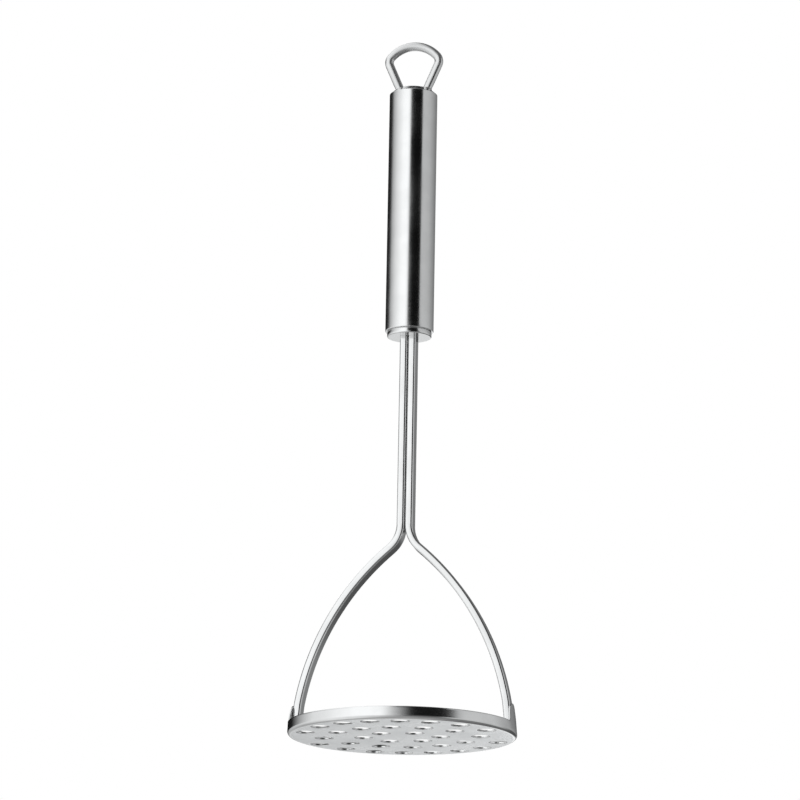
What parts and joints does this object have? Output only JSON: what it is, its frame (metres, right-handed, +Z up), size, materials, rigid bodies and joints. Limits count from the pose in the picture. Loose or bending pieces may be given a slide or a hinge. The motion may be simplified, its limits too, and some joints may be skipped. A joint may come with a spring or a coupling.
{
  "type": "potato masher",
  "caption": "All-steel hand masher: perforated round dish with upturned rim, carried by two bent flat-bar arms on a smooth tubular handle with a hanging loop.",
  "frame": {"origin": "centre of the dish's flat underside", "axes": "+Z up along the handle; the two arms lie in the XZ plane, the viewer's side is -Y"},
  "size_m": [0.0912, 0.0912, 0.2897],
  "materials": {
    "polished_steel": "mirror-polished stainless steel",
    "satin_steel": "fine satin stainless steel",
    "weld_metal": "cleaned weld bead"
  },
  "bodies": {
    "root": {"masher_dish": "satin_steel", "arm_right": "polished_steel", "arm_left": "polished_steel", "foot_weld_right": "weld_metal", "foot_weld_left": "weld_metal", "handle_bottom_cap": "polished_steel", "handle_tube": "polished_steel", "handle_top_cap": "satin_steel", "hanging_loop": "polished_steel", "loop_weld_right": "weld_metal", "loop_weld_left": "weld_metal"}
  },
  "joints": []
}
